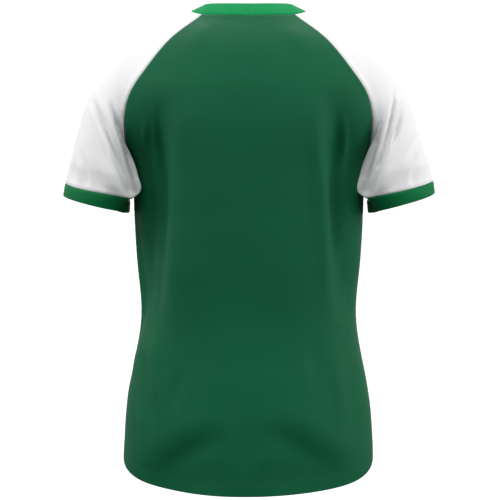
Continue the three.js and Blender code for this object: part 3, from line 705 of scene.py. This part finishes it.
def material(name):
    mat = bpy.data.materials.new(name)
    mat.use_nodes = True
    tree = mat.node_tree
    tree.nodes.clear()
    output = tree.nodes.new("ShaderNodeOutputMaterial")
    shader = tree.nodes.new("ShaderNodeBsdfPrincipled")
    tree.links.new(shader.outputs[0], output.inputs[0])
    return mat, tree, shader


def math_node(tree, operation, first, second=None, third=None):
    """A math node's output, its inputs set from numbers or linked from sockets."""
    node = tree.nodes.new("ShaderNodeMath")
    node.operation = operation
    for socket, value in zip(node.inputs, (first, second, third)):
        if value is None:
            continue
        if isinstance(value, (int, float)):
            socket.default_value = value
        else:
            tree.links.new(value, socket)
    return node.outputs[0]


def knit_group():
    """The face of a jersey knit: columns of small V stitches, as a height from 0 to 1."""
    group = bpy.data.node_groups.new("jersey_knit", "ShaderNodeTree")
    face = group.interface
    face.new_socket("Cloth", in_out="INPUT", socket_type="NodeSocketVector")
    for label, value in (("Columns per metre", JERSEY[0]), ("Courses per metre", JERSEY[1])):
        face.new_socket(label, in_out="INPUT", socket_type="NodeSocketFloat").default_value = value
    face.new_socket("Height", in_out="OUTPUT", socket_type="NodeSocketFloat")
    into = group.nodes.new("NodeGroupInput")
    out = group.nodes.new("NodeGroupOutput")
    split = group.nodes.new("ShaderNodeSeparateXYZ")
    group.links.new(into.outputs["Cloth"], split.inputs[0])
    u = math_node(group, "MULTIPLY", split.outputs[0], into.outputs["Columns per metre"])
    v = math_node(group, "MULTIPLY", split.outputs[1], into.outputs["Courses per metre"])
    side = math_node(group, "ABSOLUTE", math_node(group, "SUBTRACT", math_node(group, "FRACT", u), 0.5))
    slope = math_node(group, "ADD", v, math_node(group, "MULTIPLY", side, 1.1))
    yarn = math_node(group, "SINE", math_node(group, "MULTIPLY", slope, 2 * math.pi))
    yarn = math_node(group, "MULTIPLY_ADD", yarn, 0.5, 0.5)
    dip = math_node(group, "POWER", math_node(group, "MULTIPLY", side, 2), 3)
    inward = math_node(group, "SUBTRACT", 1, math_node(group, "MULTIPLY", side, 2))
    centre = math_node(group, "POWER", inward, 6)
    walls = math_node(group, "SUBTRACT", 1, math_node(group, "MULTIPLY", dip, 0.8))
    walls = math_node(group, "SUBTRACT", walls, math_node(group, "MULTIPLY", centre, 0.5))
    height = math_node(group, "MULTIPLY", math_node(group, "MULTIPLY_ADD", yarn, 0.6, 0.4), walls)
    group.links.new(height, out.inputs["Height"])
    return group


def uneven_group():
    """Slight variation over the cloth: large soft patches and fine yarn flecks, as a factor near 1."""
    group = bpy.data.node_groups.new("uneven_cloth", "ShaderNodeTree")
    face = group.interface
    face.new_socket("Place", in_out="INPUT", socket_type="NodeSocketVector")
    face.new_socket("Amount", in_out="INPUT", socket_type="NodeSocketFloat").default_value = 0.06
    face.new_socket("Factor", in_out="OUTPUT", socket_type="NodeSocketFloat")
    into = group.nodes.new("NodeGroupInput")
    out = group.nodes.new("NodeGroupOutput")
    parts = []
    for scale, share in ((14, 0.6), (700, 0.7)):
        noise = group.nodes.new("ShaderNodeTexNoise")
        noise.inputs["Scale"].default_value = scale
        noise.inputs["Detail"].default_value = 2
        group.links.new(into.outputs["Place"], noise.inputs["Vector"])
        centred = math_node(group, "SUBTRACT", noise.outputs["Fac"], 0.5)
        parts.append(math_node(group, "MULTIPLY", centred, share * 2))
    both = math_node(group, "ADD", parts[0], parts[1])
    scaled = math_node(group, "MULTIPLY", both, into.outputs["Amount"])
    group.links.new(math_node(group, "ADD", scaled, 1.0), out.inputs["Factor"])
    return group


KNIT = knit_group()
UNEVEN = uneven_group()


def uneven_factor(tree, amount):
    """The slight variation over the cloth, placed in a material."""
    place = tree.nodes.new("ShaderNodeTexCoord")
    uneven = tree.nodes.new("ShaderNodeGroup")
    uneven.node_tree = UNEVEN
    uneven.inputs["Amount"].default_value = amount
    tree.links.new(place.outputs["Object"], uneven.inputs["Place"])
    return uneven.outputs[0]


def cloth_material(name, color, stitch_shade_color, roughness, sheen, tint, relief, knit_scale=JERSEY, amount=0.05):
    """Knitted cloth with painted shade between its stitches, a fine relief in millimetres and a soft
    sheen.
    """
    mat, tree, shader = material(name)
    flat = tree.nodes.new("ShaderNodeUVMap")
    flat.uv_map = "cloth"
    knit = tree.nodes.new("ShaderNodeGroup")
    knit.node_tree = KNIT
    knit.inputs["Columns per metre"].default_value = knit_scale[0]
    knit.inputs["Courses per metre"].default_value = knit_scale[1]
    tree.links.new(flat.outputs[0], knit.inputs["Cloth"])
    uneven = uneven_factor(tree, amount)
    # Painted shade between the stitches: the colour goes towards the shaded colour where the knit's
    # height is low.
    mix = tree.nodes.new("ShaderNodeMix")
    mix.data_type = "RGBA"
    mix.inputs["A"].default_value = (*stitch_shade_color, 1)
    mix.inputs["B"].default_value = (*color, 1)
    tree.links.new(math_node(tree, "MULTIPLY_ADD", knit.outputs[0], 0.7, 0.3), mix.inputs["Factor"])
    shade = tree.nodes.new("ShaderNodeVectorMath")
    shade.operation = "SCALE"
    tree.links.new(mix.outputs["Result"], shade.inputs[0])
    tree.links.new(uneven, shade.inputs["Scale"])
    tree.links.new(shade.outputs[0], shader.inputs["Base Color"])
    tree.links.new(math_node(tree, "MULTIPLY", uneven, roughness), shader.inputs["Roughness"])
    bump = tree.nodes.new("ShaderNodeBump")
    bump.inputs["Strength"].default_value = 0.55
    bump.inputs["Distance"].default_value = relief * MM
    tree.links.new(knit.outputs[0], bump.inputs["Height"])
    tree.links.new(bump.outputs[0], shader.inputs["Normal"])
    shader.inputs["Specular IOR Level"].default_value = 0.12
    shader.inputs["Sheen Weight"].default_value = sheen
    shader.inputs["Sheen Roughness"].default_value = 0.45
    shader.inputs["Sheen Tint"].default_value = (*tint, 1)
    return mat


def srgb(r, g, b):
    """A colour as seen, from 0 to 255, in the shaders' linear numbers."""

    def linear(c):
        c /= 255
        return c / 12.92 if c <= 0.04045 else ((c + 0.055) / 1.055) ** 2.4

    return linear(r), linear(g), linear(b)


body_green = cloth_material(
    "body_green_knit", srgb(6, 92, 58), srgb(3, 76, 46),
    roughness=0.6, sheen=0.05, tint=(0.6, 1, 0.8), relief=0.22,
)
sleeve_white = cloth_material(
    "sleeve_white_knit", srgb(235, 235, 236), srgb(224, 224, 226),
    roughness=0.75, sheen=0.02, tint=(1, 1, 1), relief=0.2, amount=0.012,
)
cuff_green = cloth_material(
    "cuff_green_knit", srgb(2, 112, 62), srgb(2, 88, 46),
    roughness=0.66, sheen=0.08, tint=(0.5, 0.95, 0.7), relief=0.22,
)
collar_green = cloth_material(
    "collar_green_rib", srgb(18, 152, 86), srgb(10, 120, 64),
    roughness=0.7, sheen=0.08, tint=(0.6, 1, 0.8), relief=0.2, knit_scale=RIB,
)


def thread_material(name, color):
    """Sewing thread of one colour, a little uneven from stitch to stitch."""
    mat, tree, shader = material(name)
    uneven = uneven_factor(tree, 0.25)
    shade = tree.nodes.new("ShaderNodeVectorMath")
    shade.operation = "SCALE"
    shade.inputs[0].default_value = color
    tree.links.new(uneven, shade.inputs["Scale"])
    tree.links.new(shade.outputs[0], shader.inputs["Base Color"])
    tree.links.new(math_node(tree, "MULTIPLY", uneven, 0.5), shader.inputs["Roughness"])
    return mat


green_thread = thread_material("green_thread", srgb(8, 84, 52))


# Stitches


STITCH_PITCH = 0.0032
STITCH_LENGTH = 0.0024
THREAD_RADIUS = 0.00026


def stitch_group():
    """Stitches along a curve: one rounded stitch for every pitch of its length."""
    group = bpy.data.node_groups.new("stitch_run", "GeometryNodeTree")
    face = group.interface
    face.new_socket("Geometry", in_out="INPUT", socket_type="NodeSocketGeometry")
    sizes = {"Pitch": STITCH_PITCH, "Stitch Length": STITCH_LENGTH, "Thread Radius": THREAD_RADIUS}
    for label, value in sizes.items():
        face.new_socket(label, in_out="INPUT", socket_type="NodeSocketFloat").default_value = value
    face.new_socket("Seed", in_out="INPUT", socket_type="NodeSocketInt").default_value = 4
    face.new_socket("Thread", in_out="INPUT", socket_type="NodeSocketMaterial")
    face.new_socket("Geometry", in_out="OUTPUT", socket_type="NodeSocketGeometry")
    nodes, links = group.nodes, group.links
    into, out = nodes.new("NodeGroupInput"), nodes.new("NodeGroupOutput")
    points = nodes.new("GeometryNodeCurveToPoints")
    points.mode = "LENGTH"
    links.new(into.outputs["Geometry"], points.inputs["Curve"])
    links.new(into.outputs["Pitch"], points.inputs["Length"])
    ball = nodes.new("GeometryNodeMeshUVSphere")
    ball.inputs["Segments"].default_value = 6
    ball.inputs["Rings"].default_value = 5
    ball.inputs["Radius"].default_value = 1.0
    size = nodes.new("ShaderNodeCombineXYZ")
    links.new(into.outputs["Thread Radius"], size.inputs[0])
    links.new(into.outputs["Thread Radius"], size.inputs[1])
    links.new(math_node(group, "MULTIPLY", into.outputs["Stitch Length"], 0.5), size.inputs[2])
    turn = nodes.new("FunctionNodeAlignRotationToVector")
    turn.axis = "Z"
    links.new(points.outputs["Tangent"], turn.inputs["Vector"])
    spread = nodes.new("FunctionNodeRandomValue")
    spread.data_type = "FLOAT"
    low, high = [s for s in spread.inputs if s.type == "VALUE" and s.enabled][:2]
    low.default_value, high.default_value = 0.92, 1.06
    links.new(into.outputs["Seed"], spread.inputs["Seed"])
    scale = nodes.new("ShaderNodeVectorMath")
    scale.operation = "SCALE"
    links.new(size.outputs[0], scale.inputs[0])
    links.new(next(s for s in spread.outputs if s.type == "VALUE" and s.enabled), scale.inputs["Scale"])
    place = nodes.new("GeometryNodeInstanceOnPoints")
    links.new(points.outputs["Points"], place.inputs["Points"])
    links.new(ball.outputs["Mesh"], place.inputs["Instance"])
    links.new(turn.outputs["Rotation"], place.inputs["Rotation"])
    links.new(scale.outputs[0], place.inputs["Scale"])
    real = nodes.new("GeometryNodeRealizeInstances")
    links.new(place.outputs[0], real.inputs[0])
    paint = nodes.new("GeometryNodeSetMaterial")
    links.new(real.outputs[0], paint.inputs["Geometry"])
    links.new(into.outputs["Thread"], paint.inputs["Material"])
    links.new(paint.outputs[0], out.inputs[0])
    return group


STITCH = stitch_group()


def stitched(name, lines, thread, seed):
    """A mesh of stitches along lines of points, in millimetres."""
    curve = bpy.data.curves.new(name + "_path", "CURVE")
    curve.dimensions = "3D"
    for line in lines:
        spline = curve.splines.new("POLY")
        spline.points.add(len(line) - 1)
        spline.points.foreach_set("co", np.c_[line * MM, np.ones(len(line))].ravel())
    path = bpy.data.objects.new(name + "_path", curve)
    bpy.context.collection.objects.link(path)
    modifier = path.modifiers.new("stitches", "NODES")
    modifier.node_group = STITCH
    values = {"Pitch": STITCH_PITCH, "Stitch Length": STITCH_LENGTH, "Seed": seed, "Thread": thread}
    for item in STITCH.interface.items_tree:
        if item.in_out == "INPUT" and item.name in values:
            modifier[item.identifier] = values[item.name]
    graph = bpy.context.evaluated_depsgraph_get()
    mesh = bpy.data.meshes.new_from_object(path.evaluated_get(graph), depsgraph=graph)
    mesh.name = name
    for polygon in mesh.polygons:
        polygon.use_smooth = True
    obj = bpy.data.objects.new(name, mesh)
    bpy.context.collection.objects.link(obj)
    bpy.data.objects.remove(path)
    bpy.data.curves.remove(curve)
    if not mesh.materials:
        mesh.materials.append(thread)
    return obj


# Making the pieces

back, back_points, back_normals, back_up = make_panel("back", 150, 92, 150)
front, front_points, front_normals, front_up = make_panel("front", 120, 76, 120)
sleeves = {hand: make_sleeve(hand) for hand in ("left", "right")}
cuffs = {hand: make_cuff(hand) for hand in ("left", "right")}
collar = make_collar()


def hem_stitches(name, points, normals, up, seed):
    lines = [row_at(points, normals, up, HEM_TURN - row, STITCH_LIFT) for row in STITCH_ROWS]
    return stitched(name, lines, green_thread, seed)


back_stitches = hem_stitches("hem_stitches_back", back_points, back_normals, back_up, seed=4)
front_stitches = hem_stitches("hem_stitches_front", front_points, front_normals, front_up, seed=9)

for obj, mat, slot_name, nodes in (
    (back, body_green, "body_green", ["back_panel"]),
    (front, body_green, "body_green", ["front_panel"]),
    (sleeves["left"], sleeve_white, "sleeve_white", ["sleeve_left"]),
    (sleeves["right"], sleeve_white, "sleeve_white", ["sleeve_right"]),
    (cuffs["left"], cuff_green, "cuff_green", ["cuff_left"]),
    (cuffs["right"], cuff_green, "cuff_green", ["cuff_right"]),
    (collar, collar_green, "collar_green", ["collar"]),
):
    obj.data.materials.append(mat)
    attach(obj, "root")
    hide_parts(*nodes)
for obj in (back_stitches, front_stitches):
    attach(obj, "root")

# Floor, backdrop, light and camera, in metres

FLOOR = -3.0
FLOOR_RADIUS = 5.0
WALL_RADIUS = 1.6
WALL_HEIGHT = 6.0
MIDDLE_OF_JERSEY = (0, 0, -0.35)


def white_studio():
    """A round pale floor that turns up into a wall on every side, and closes above."""
    arc = np.linspace(0, math.pi / 2, 14)
    cap = 0.02
    profile = [(cap, 0), (FLOOR_RADIUS / 2, 0)]
    profile += [
        (FLOOR_RADIUS + WALL_RADIUS * math.sin(a), WALL_RADIUS * (1 - math.cos(a))) for a in arc
    ]
    profile += [(FLOOR_RADIUS + WALL_RADIUS, WALL_HEIGHT), (cap, WALL_HEIGHT + 2)]
    turns = 72
    verts = [
        (r * math.cos(2 * math.pi * k / turns), r * math.sin(2 * math.pi * k / turns), FLOOR + h)
        for r, h in profile for k in range(turns)
    ]
    last = (len(profile) - 1) * turns
    faces = [
        (j + k, j + (k + 1) % turns, j + turns + (k + 1) % turns, j + turns + k)
        for j in range(0, last, turns) for k in range(turns)
    ]
    faces += [tuple(range(turns))[::-1], tuple(range(last, last + turns))]
    mesh = bpy.data.meshes.new("studio_floor")
    mesh.from_pydata(verts, [], faces)
    for polygon in mesh.polygons:
        polygon.use_smooth = True
    obj = bpy.data.objects.new("studio_floor", mesh)
    bpy.context.collection.objects.link(obj)
    mat, tree, shader = material("studio_white")
    shader.inputs["Base Color"].default_value = (0.3, 0.3, 0.3, 1)
    shader.inputs["Roughness"].default_value = 0.9
    shader.inputs["Emission Color"].default_value = (1, 1, 1, 1)
    shader.inputs["Emission Strength"].default_value = 1.0
    mesh.materials.append(mat)
    obj.visible_diffuse = False
    obj.visible_glossy = False
    obj.visible_shadow = False


white_studio()


def softbox(name, place, target, size, power, gloss_only=False):
    """A soft rectangular light that faces its target."""
    light = bpy.data.lights.new(name, "AREA")
    light.shape = "RECTANGLE"
    light.size, light.size_y = size
    light.energy = power
    obj = bpy.data.objects.new(name, light)
    obj.location = place
    obj.rotation_euler = (Vector(target) - Vector(place)).to_track_quat("-Z", "Y").to_euler()
    obj.visible_camera = False
    obj.visible_diffuse = not gloss_only
    bpy.context.collection.objects.link(obj)


softbox("key", (-2.85, 0.95, 0.6), MIDDLE_OF_JERSEY, (1.2, 1.4), 49)
softbox("fill", (2.4, 0.8, 1.45), MIDDLE_OF_JERSEY, (1.2, 1.2), 46)
softbox("above", (0, 1.6, 2.3), (0, 0, -0.3), (1.6, 1.0), 24)
softbox("front", (-0.5, -2.5, 0.5), MIDDLE_OF_JERSEY, (1.6, 1.2), 46)
softbox("shoulders", (0.0, -1.0, 1.7), (0, 0, 0), (1.8, 0.8), 38, gloss_only=True)


def sky():
    """Light from all round, strong from above and weak from below."""
    world = bpy.data.worlds.new("studio")
    bpy.context.scene.world = world
    world.use_nodes = True
    tree = world.node_tree
    place = tree.nodes.new("ShaderNodeTexCoord")
    split = tree.nodes.new("ShaderNodeSeparateXYZ")
    tree.links.new(place.outputs["Generated"], split.inputs[0])
    ramp = tree.nodes.new("ShaderNodeMapRange")
    ramp.interpolation_type = "SMOOTHSTEP"
    for label, value in (("From Min", -0.6), ("From Max", 0.15), ("To Min", 0.08), ("To Max", 0.7)):
        ramp.inputs[label].default_value = value
    tree.links.new(split.outputs["Z"], ramp.inputs["Value"])
    tree.links.new(ramp.outputs["Result"], tree.nodes["Background"].inputs["Strength"])
    tree.nodes["Background"].inputs["Color"].default_value = (1, 1, 1, 1)


sky()
bpy.context.scene.view_settings.view_transform = "Standard"

CAMERA_DISTANCE = 1.5
WIDTH_SEEN = 0.74
camera = bpy.data.cameras.new("camera")
camera.sensor_width = 36
camera.lens = camera.sensor_width * CAMERA_DISTANCE / WIDTH_SEEN
view_object = bpy.data.objects.new("camera", camera)
view_object.location = (-0.00222, CAMERA_DISTANCE, -0.3345)
view_object.rotation_euler = (math.pi / 2, 0, math.pi)
bpy.context.collection.objects.link(view_object)
bpy.context.scene.camera = view_object
